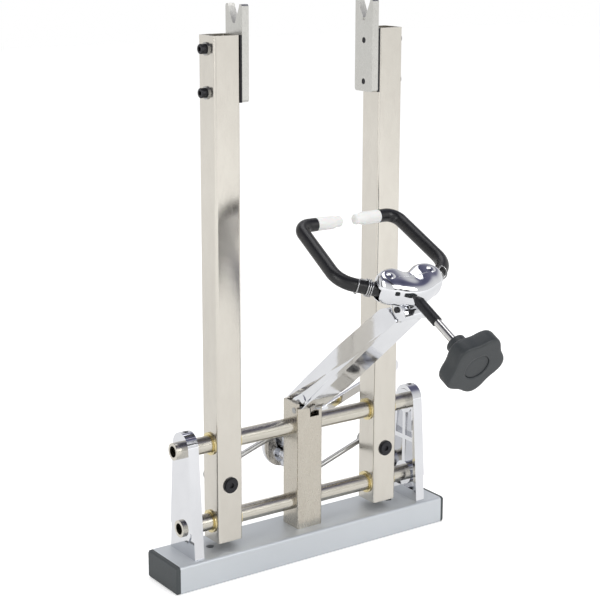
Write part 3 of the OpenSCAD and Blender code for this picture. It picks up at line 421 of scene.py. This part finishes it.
def headOutline():
    h = headCast
    half = h["lobeX"] + h["lobeRadius"]

    def lobe(x):
        return math.sqrt(max(h["lobeRadius"] ** 2 - max(abs(x) - h["lobeX"], 0) ** 2, 0))

    def front(x):
        ends = h["lobeY"] - lobe(x)
        if abs(x) >= h["lobeX"] + 1:
            return ends
        return min(h["front"] + h["frontRadius"] - math.sqrt(h["frontRadius"] ** 2 - x * x), ends)

    def back(x):
        inside = abs(x) < h["waistHalf"]
        dip = h["waist"] * math.cos(math.pi * x / 2 / h["waistHalf"]) ** 2 if inside else 0
        return h["lobeY"] + lobe(x) - dip

    steps = h["samples"]
    across = [-half * math.cos(math.pi * k / steps) for k in range(steps + 1)]
    line = [(x, front(x)) for x in across] + [(x, back(x)) for x in reversed(across[1:-1])]
    return smoothed(evenlySpaced(line, h["sides"]), h["smoothings"])


def headRings():
    # level rings from the bottom seam to the top seam, inset where the sides roll over
    h = headCast
    outline = headOutline()
    count = len(outline)
    middle, half = (h["top"] + h["bottom"]) / 2, (h["top"] - h["bottom"]) / 2

    def inward(i):
        a, b = outline[i - 1], outline[(i + 1) % count]
        length = math.dist(a, b)
        return (-(b[1] - a[1]) / length, (b[0] - a[0]) / length)

    def height(x, y, z):
        rise = max((z - middle) / half, 0) ** 1.5
        depth = h["saddle"] * min(max((y - h["saddleFrom"]) / h["saddleRun"], 0.0), 1.0)
        return z - depth * rise * math.exp(-(x / h["saddleWidth"]) ** 2)

    def closing(ring, z):
        seam = [(max(-h["seamHalf"], min(h["seamHalf"], x)), h["seamY"]) for x, y in ring]
        return [([(x + (a - x) * t, y + (b - y) * t) for (x, y), (a, b) in zip(ring, seam)], z)
                for t in (0.2, 0.4, 0.6, 0.8, 0.96)]

    rings, inner = [], [inward(i) for i in range(count)]
    for k in range(-h["levels"], h["levels"] + 1):
        turn = math.radians(90 * k / h["levels"])
        taper = 1 - abs(math.cos(turn)) ** (2 / h["fullness"])
        z = middle + half * math.copysign(abs(math.sin(turn)) ** (2 / h["fullness"]), turn)
        ring = []
        for (x, y), (towardX, towardY) in zip(outline, inner):
            inset = taper * (h["edge"] + h["frontEdge"] * max(towardY, 0))
            ring.append((x + towardX * inset, y + towardY * inset))
        rings.append((ring, z))
    rings = closing(*rings[0])[::-1] + rings + closing(*rings[-1])
    return [[(x, y, height(x, y, z)) for x, y in ring] for ring, z in rings]


def headRooms(place):
    # what is cut from the head: rooms for the nut, the jaws' lugs and bars, the tongue and the spindle
    h, k = headCast, knuckle
    slot, x = h["slotHalf"], h["pivotX"]
    front, back = h["middleRoom"]
    rooms = [prism([(-x, front), (x, front), (x, back), (-x, back)], -slot, slot, place)]
    turn, (wide, deep) = math.radians(h["roomTurn"]), h["barRoom"]
    for side in (1, -1):
        rooms.append(prism(circlePlan(side * x, h["pivotY"], h["lugRoom"]), -slot, slot, place))
        room = [(x + a * math.cos(turn) - b * math.sin(turn),
                 h["pivotY"] - h["roomFront"] + a * math.sin(turn) + b * math.cos(turn))
                for a, b in ((0, 0), (wide, 0), (wide, deep), (0, deep))]
        rooms.append(prism([(side * a, b) for a, b in room], -slot, slot, place))
    rooms.append(prism(circlePlan(0, k["pivotDrop"], k["room"]), -k["slotHalf"], k["slotHalf"], place, "X"))
    rooms.append(prism(circlePlan(0, 0, h["boreRadius"]), *h["bore"], place, "Y"))
    return rooms


def makeHead():
    place = headPlace()
    mesh = ringsMesh("headShell", headRings(), place)
    head = newPiece("headShell", mesh, "head", castChrome, "head_housing")
    cutAway(head, headRooms(place))
    shadeByAngle(head, headCast["sharpAngle"])


# the head's knuckle in mm round its pivot: closed in front, slotted where the arm's tongue turns
knuckle = {
    "radius": 12.3, "halfWidth": 15.4, "pivotDrop": -13.5, "top": -8.5, "frontTop": -8.0, "edge": 1.6,
    "slotHalf": 7.4, "slotLong": 16, "room": 8.0, "bandFront": 9.6, "sharpAngle": 50,
    "tongueTurns": (-8, 4, 17, 30, 42),         # degrees: where the tongue can lie as the head tilts
}


def makeKnuckle():
    k, place = knuckle, headPlace()
    outline = arcPlan(0, k["pivotDrop"], k["radius"], range(180, 361, 6))
    outline += [(k["radius"], k["top"]), (k["frontTop"], k["top"])]
    mesh = prism(outline, -k["halfWidth"], k["halfWidth"], place, "X")
    body = newPiece("headKnuckle", mesh, "head", castChrome)
    bevelled(body, k["edge"])
    half, long = k["slotHalf"], k["slotLong"]
    slots = [prism(circlePlan(0, k["pivotDrop"], k["room"]), -half, half, place, "X")]
    ends = ((0, -k["bandFront"]), (long, -k["bandFront"]), (long, k["room"]), (0, k["room"]))
    for angle in k["tongueTurns"]:
        turn = math.radians(angle)
        along, across = (math.sin(turn), -math.cos(turn)), (math.cos(turn), math.sin(turn))
        band = [(along[0] * r + across[0] * c, k["pivotDrop"] + along[1] * r + across[1] * c)
                for r, c in ends]
        slots.append(prism(band, -half, half, place, "X"))
    cutAway(body, slots)
    shadeByAngle(body, k["sharpAngle"])


# the cast arm in mm: y across its depth, z along it from the post's pin
armCast = {
    "postWidth": 31.5, "headWidth": 34.0, "widens": (20, 206), "length": 226.5,
    "edge": 1.3, "rootEdge": 0.4, "tongueEdge": 0.5,
    "outline": [(18.0, -3.2), (18.5, 40), (18.0, 110), (14.5, 180), (13.0, 205), (9.0, 214), (-8.5, 219),
                (-8.5, 62), (-6.0, 34), (-5.2, 13.0), (-1.9, 12.9), (2.6, 12.8), (5.5, 11.7), (8.4, 9.6),
                (8.7, 4.6), (13.2, 0.9)],
    "fluteWide": 15.0, "fluteTip": 1.0, "fluteLong": 165.0, "fluteDeep": 7.5, "fluteFrom": (7, -20),
    "fluteLean": 3.4, "fluteTurn": 0.7,
    "seat": 13.6, "seatHalf": 15.7,                         # round seat for the knuckle
    "root": [(13.0, -6.0), (13.0, 20), (0.5, 20), (0.5, 13.2), (5.7, 11.9), (8.3, 9.5), (8.8, 4.4),
             (5.0, 0.0), (3.5, -5.0), (5.0, -10.5), (10.0, -10.0)],
    "rootHalf": 12.3,                                       # between the post's walls
    "tongueRadius": 7.4, "tongueHalf": 7.0, "tongueFrom": 206,
    "tailRadius": 7.5, "tailSides": (-0.4, 10.4), "tailTop": [(7.5, 24), (-4.5, 24), (-7.0, 12)],
}


def armPlace():
    turn = Matrix.Rotation(math.radians(headFrame["armLean"]), 4, "X")
    return Matrix.Translation(Vector(headFrame["pivot"]) * mm) @ turn @ Matrix.Scale(mm, 4)


def armFlute(side, place):
    # cone that scoops one side of the arm, deeper towards the post
    a = armCast
    x = side * (a["postWidth"] / 2 + a["fluteWide"] - a["fluteDeep"])
    lean = Matrix.Rotation(math.radians(a["fluteLean"]), 4, "X")
    turn = Matrix.Rotation(math.radians(-side * a["fluteTurn"]), 4, "Y")
    cone = [[(u, v, z) for u, v in circlePlan(0, 0, radius, 64)]
            for radius, z in ((a["fluteWide"], 0), (a["fluteTip"], a["fluteLong"]))]
    return ringsMesh("flute", cone, place @ Matrix.Translation((x, *a["fluteFrom"])) @ (lean @ turn))


def makeArm():
    a, place = armCast, armPlace()
    start, end = a["widens"]

    def halfWidth(z):
        share = min(max((z - start) / (end - start), 0), 1)
        return (a["postWidth"] + (a["headWidth"] - a["postWidth"]) * share) / 2

    rings = [[(side * halfWidth(z), y, z) for y, z in a["outline"]] for side in (-1, 1)]
    arm = newPiece("armCasting", ringsMesh("armCasting", rings, place), "arm", castChrome, "caliper_arm")
    cutters = [armFlute(side, place) for side in (-1, 1)]
    seat, half = circlePlan(0, a["length"], a["seat"], 64), a["tongueHalf"]
    for low, high in ((-a["seatHalf"], -half), (half, a["seatHalf"])):
        cutters.append(prism(seat, low, high, place, "X"))
    cutAway(arm, cutters)
    bevelled(arm, a["edge"])
    # root in the post, tongue in the knuckle, tail that turns on the post's pin
    base, radius = a["tongueFrom"], a["tongueRadius"]
    tongue = arcPlan(0, a["length"], radius, range(0, 181, 10)) + [(-radius, base), (radius, base)]
    tail = arcPlan(0, 0, a["tailRadius"], range(180, 361, 10)) + a["tailTop"]
    for name, plan, sides, edge in (
            ("armRoot", a["root"], (-a["rootHalf"], a["rootHalf"]), a["rootEdge"]),
            ("armTongue", tongue, (-half, half), a["tongueEdge"]),
            ("armTail", tail, a["tailSides"], a["tongueEdge"])):
        bevelled(newPiece(name, prism(plan, *sides, place, "X"), "arm", castChrome), edge)


# the knob in mm, along the spindle from the head's frame
knob = {
    "lobes": 5, "phase": -3.4, "outer": 33.0, "hollow": 28.2, "hub": 10.0, "hubEnd": 68.0, "hubEdge": 1.2,
    "back": 86.0, "front": 103.5, "backEdge": 5.0, "frontEdge": 2.6,
    "flareFrom": 2.2, "flare": 0.9, "flareWide": 0.5,       # where the hub opens into the lobes' back
    "groove": ((0, 0.9), (0.25, 0.45), (0.8, 0.3), (2.6, 0.3)),     # depth, and width beyond the disc
    "disc": 13.0, "discDepth": 1.0, "discEdge": 0.5, "discRoot": 2.9, "sides": 180,
}


def starRing(along, inset, share=1.0):
    # ring of the knob; share 1 follows the lobes and less of it is rounder and smaller
    ring = []
    for k in range(knob["sides"]):
        turn = 2 * math.pi * k / knob["sides"]
        wave = 0.5 + 0.5 * math.cos(knob["lobes"] * (turn - math.radians(knob["phase"])))
        star = knob["hollow"] + (knob["outer"] - knob["hollow"]) * wave - inset
        radius = knob["hub"] + (star - knob["hub"]) * share
        ring.append((radius * math.cos(turn), -along, radius * math.sin(turn)))
    return ring


def roundRing(along, radius):
    return [(x, -along, z) for x, z in circlePlan(0, 0, radius, knob["sides"])]


def makeKnob():
    # hub, flare, lobes from back to front, then the groove round the disc
    k = knob
    hub, back, front, disc = k["hub"], k["back"], k["front"], k["disc"]
    rings = [roundRing(k["hubEnd"] + along, hub - inset) for inset, along in edgeArc(k["hubEdge"])]
    rings += [roundRing(back - k["flareFrom"], hub), roundRing(back - k["flare"], hub + k["flareWide"])]
    rings += [starRing(back - k["flare"] + k["flare"] * s, k["backEdge"], s) for s in (0.12, 0.35, 0.6, 0.85)]
    rings += [starRing(back + along, inset) for inset, along in edgeArc(k["backEdge"])]
    rings += [starRing(front - along, inset) for inset, along in reversed(edgeArc(k["frontEdge"]))]
    rings += [starRing(front, k["frontEdge"], s) for s in (0.8, 0.55, 0.3)]
    rings += [roundRing(front - deep, disc + wide) for deep, wide in k["groove"]]
    newPiece("starKnob", ringsMesh("starKnob", rings, headPlace()), "knob", mouldedNylon, "star_knob")
    face, edge = front - k["discDepth"], k["discEdge"]
    rings = [roundRing(front - k["discRoot"], disc), roundRing(face - edge, disc)]
    rings += [roundRing(face - along, disc - inset) for inset, along in reversed(edgeArc(edge, 4))]
    rings += [roundRing(face, disc * 0.6), roundRing(face, disc * 0.2)]
    newPiece("knobDisc", ringsMesh("knobDisc", rings, headPlace()), "knob", mouldedNylon, "knob_cap")


makeKnob()
makeHead()
makeKnuckle()
makeArm()
print("knob, head and arm made")

# the jaws' bar in mm, and the wire spring on it: coil, leg along the bar, hook round it
jawBar = {"start": (28.5, 14.75), "corner": (66.0, 37.0), "tipPlace": (39.0, 122.5)}
jawSpring = {
    "from": 11.5, "radius": 8.05, "wire": 1.4, "turns": 3, "pitch": 2.0, "steps": 24,
    "legBow": 0.4, "hookAt": 14.0, "hookTurn": 270, "hookRise": 1.2,
}


def springPath():
    # centre line of the right jaw's spring, in the head's frame
    w, points = jawSpring, []
    radius, steps, hookAt = w["radius"], w["steps"], w["hookAt"]
    for k in range(steps * w["turns"] + 1):
        a = 2 * math.pi * k / steps
        points.append((radius * math.cos(a), radius * math.sin(a), w["pitch"] * k / steps))
    coilEnd = w["pitch"] * w["turns"]
    points += [(radius + w["legBow"] * math.sin(math.pi * k / 6), 0, coilEnd + (hookAt - coilEnd) * k / 6)
               for k in range(1, 6)]
    for k in range(steps + 1):
        a = math.radians(w["hookTurn"]) * k / steps
        points.append((radius * math.cos(a), radius * math.sin(a), hookAt + w["hookRise"] * k / steps))
    start, corner = Vector(jawBar["start"]), Vector(jawBar["corner"])
    along = (corner - start).normalized()
    begin = start + along * w["from"]
    return [Vector((begin.x + z * along.x + y * along.y, begin.y + z * along.y - y * along.x, x))
            for x, y, z in points]


def wireRings(path, thickness, sides=12):
    # rings round a path, carried along it without twist
    rings, side = [], None
    for k, point in enumerate(path):
        way = (path[min(k + 1, len(path) - 1)] - path[max(k - 1, 0)]).normalized()
        if side is None:
            side = way.orthogonal().normalized()
        side = (side - way * side.dot(way)).normalized()
        other = way.cross(side)
        turns = [2 * math.pi * i / sides for i in range(sides)]
        rings.append([point + (side * math.cos(t) + other * math.sin(t)) * thickness / 2 for t in turns])
    return rings


def makeJawSprings():
    for side, flip in (("right", 1), ("left", -1)):
        path = [Vector((p.x * flip, p.y, p.z)) for p in springPath()]
        mesh = ringsMesh(side + "Spring", wireRings(path, jawSpring["wire"]), headPlace())
        newPiece(side + "Spring", mesh, side + "_jaw", musicWire, side + "_jaw_spring")


makeJawSprings()

# feeler tips in mm: half the space between them, and radius of body and nose
feeler = {
    "gap": 8.0, "radius": 6.75, "nose": 5.5, "sides": 48,
    "bodyFrom": ((0, -0.4), (0.4, -0.1), (0.9, 0)),         # from the bar's end, and change of radius
    "bodyTo": ((10.6, 0), (10, -0.1)),                      # back from the tip's end
    "noseTo": ((7.3, 0.15), (6.6, 0), (1.9, 0), (1.2, -0.25), (0.5, -0.9), (0, -1.8)),
}


def makeTips():
    barEnd, level = jawBar["tipPlace"]
    length, body, nose = barEnd - feeler["gap"], feeler["radius"], feeler["nose"]
    # distance from the bar's end and radius there
    profile = [(along, body + change) for along, change in feeler["bodyFrom"]]
    profile += [(length - back, body + change) for back, change in feeler["bodyTo"]]
    profile += [(length - back, nose + change) for back, change in feeler["noseTo"]]
    for side, flip in (("right", 1), ("left", -1)):
        rings = [[(flip * (barEnd - along), y, z) for y, z in circlePlan(level, 0, radius, feeler["sides"])]
                 for along, radius in profile]
        name = side + "Feeler"
        newPiece(name, ringsMesh(name, rings, headPlace()), side + "_jaw", turnedAcetal, side + "_tip")


makeTips()
print("springs and tips made")


# the studio: paper floor, white walls, dark flags for the metal to mirror
studio = {
    "floorColour": "#f4f4f4", "floorSize": 12.0, "floorDrop": 0.0004,
    "floorLift": 0.45,                          # glow that takes the lit paper to white in view
    "floorInMetal": 0.12, "farInMetal": 0.42,   # glow that metal mirrors, near and far
    "floorFade": (1.0, 2.6),                    # metres over which near becomes far
    "skyStrength": 0.62,
    "mirrored": [                               # what metal mirrors of the walls, from the horizon up
        (0.0, "#f4f4f4"), (0.40, "#e6e6e6"), (0.62, "#c8c8ce"),
        (0.76, "#6e6e84"), (0.90, "#50526a"), (1.0, "#a0a2aa"),
    ],
    "flags": [                                  # dark upright cards at an azimuth in degrees
        {"azimuth": 0.0, "width": 0.07, "soft": 0.10, "dark": 0.85, "colour": "#2c2b28"},
        {"azimuth": -98.0, "width": 0.07, "soft": 0.10, "dark": 0.85, "colour": "#2c2b28"},
    ],
}


def makeFloor():
    half = studio["floorSize"] / 2
    mesh = bpy.data.meshes.new("studioFloor")
    corners = [(-half, -half, 0), (half, -half, 0), (half, half, 0), (-half, half, 0)]
    mesh.from_pydata(corners, [], [(0, 1, 2, 3)])
    floor = bpy.data.objects.new("studioFloor", mesh)
    floor.location.z = -studio["floorDrop"]
    bpy.context.collection.objects.link(floor)
    material = bpy.data.materials.new("paperSweep")
    material.use_nodes = True
    tree = material.node_tree
    shader = tree.nodes["Principled BSDF"]
    shader.inputs["Base Color"].default_value = linear(studio["floorColour"])
    shader.inputs["Roughness"].default_value = 0.9
    # the paper shows white where it is lit and keeps the shadow
    rays = addNode(tree, "ShaderNodeLightPath")
    where = addNode(tree, "ShaderNodeNewGeometry").outputs["Position"]
    away = addNode(tree, "ShaderNodeVectorMath", {0: where}, operation="LENGTH").outputs["Value"]
    near, far = studio["floorFade"]
    glow = addNode(tree, "ShaderNodeMapRange", {
        "Value": away, "From Min": near, "From Max": far,
        "To Min": studio["floorInMetal"], "To Max": studio["farInMetal"]})
    inMetal = addNode(tree, "ShaderNodeMath", {
        0: rays.outputs["Is Glossy Ray"], 1: glow.outputs[0]}, operation="MULTIPLY")
    shown = addNode(tree, "ShaderNodeMath", {
        0: rays.outputs["Is Camera Ray"], 1: studio["floorLift"], 2: inMetal.outputs[0]},
        operation="MULTIPLY_ADD")
    shader.inputs["Emission Color"].default_value = (1, 1, 1, 1)
    tree.links.new(shown.outputs[0], shader.inputs["Emission Strength"])
    mesh.materials.append(material)


def flagCover(tree, direction, flag):
    # 1 inside a dark upright flag that stands at flag's azimuth, 0 outside
    a = math.radians(flag["azimuth"])
    towards, across = (math.sin(a), -math.cos(a), 0), (math.cos(a), math.sin(a), 0)

    def along(axis):
        product = addNode(tree, "ShaderNodeVectorMath", {0: direction, 1: axis}, operation="DOT_PRODUCT")
        return product.outputs["Value"]

    away = addNode(tree, "ShaderNodeMath", {0: along(across)}, operation="ABSOLUTE").outputs[0]
    cover = addNode(tree, "ShaderNodeMapRange", {
        "Value": away, "From Min": flag["width"], "From Max": flag["width"] + flag["soft"],
        "To Min": flag["dark"], "To Max": 0.0})
    front = addNode(tree, "ShaderNodeMath", {0: along(towards), 1: 0.0}, operation="GREATER_THAN")
    both = addNode(tree, "ShaderNodeMath", {0: cover.outputs[0], 1: front.outputs[0]}, operation="MULTIPLY")
    return both.outputs[0]


def makeSky():
    # white to the camera, the ramp and flags to metal, an even grey light to all else
    world = bpy.data.worlds.new("studio")
    bpy.context.scene.world = world
    world.use_nodes = True
    tree = world.node_tree
    tree.nodes.clear()
    rays = addNode(tree, "ShaderNodeLightPath")
    seen = addNode(tree, "ShaderNodeMath", {
        0: rays.outputs["Is Camera Ray"], 1: rays.outputs["Is Transmission Ray"]}, operation="MAXIMUM")
    direction = addNode(tree, "ShaderNodeTexCoord").outputs["Generated"]
    height = addNode(tree, "ShaderNodeSeparateXYZ", {"Vector": direction}).outputs["Z"]
    ramp = addNode(tree, "ShaderNodeValToRGB", {"Fac": height})
    while len(ramp.color_ramp.elements) < len(studio["mirrored"]):
        ramp.color_ramp.elements.new(0.5)
    for element, (position, colour) in zip(ramp.color_ramp.elements, studio["mirrored"]):
        element.position, element.color = position, linear(colour)
    mirrored = ramp.outputs["Color"]
    for flag in studio["flags"]:
        cover = flagCover(tree, direction, flag)
        darker = addNode(tree, "ShaderNodeMix", {"Factor": cover}, data_type="RGBA")
        tree.links.new(mirrored, darker.inputs["A"])
        darker.inputs["B"].default_value = linear(flag["colour"])
        mirrored = darker.outputs["Result"]
    lit = addNode(tree, "ShaderNodeMix", {"Factor": rays.outputs["Is Glossy Ray"]}, data_type="RGBA")
    lit.inputs["A"].default_value = (studio["skyStrength"],) * 3 + (1,)
    tree.links.new(mirrored, lit.inputs["B"])
    colour = addNode(tree, "ShaderNodeMix", {"Factor": seen.outputs[0]}, data_type="RGBA")
    tree.links.new(lit.outputs["Result"], colour.inputs["A"])
    colour.inputs["B"].default_value = (1, 1, 1, 1)
    glow = addNode(tree, "ShaderNodeBackground", {"Color": colour.outputs["Result"], "Strength": 1.0})
    addNode(tree, "ShaderNodeOutputWorld", {"Surface": glow.outputs[0]})


def addLamp(name, place, size, power, aim=(0, 0, 0.3)):
    # a softbox of size metres and power watts
    lampData = bpy.data.lights.new(name, "AREA")
    lampData.shape, lampData.energy = "RECTANGLE", power
    lampData.size, lampData.size_y = size
    lamp = bpy.data.objects.new(name, lampData)
    lamp.location = place
    lamp.rotation_euler = (Vector(aim) - Vector(place)).to_track_quat("-Z", "Y").to_euler()
    bpy.context.collection.objects.link(lamp)


makeFloor()
makeSky()
addLamp("softboxFront", (0.5, -2.6, 1.5), (1.6, 1.2), 26)
addLamp("softboxLeft", (-2.4, -0.6, 1.2), (1.0, 1.6), 12)
addLamp("softboxTop", (0.3, 0.6, 2.6), (1.6, 1.6), 16)
bpy.context.scene.view_settings.view_transform = "Standard"
print("studio ready")
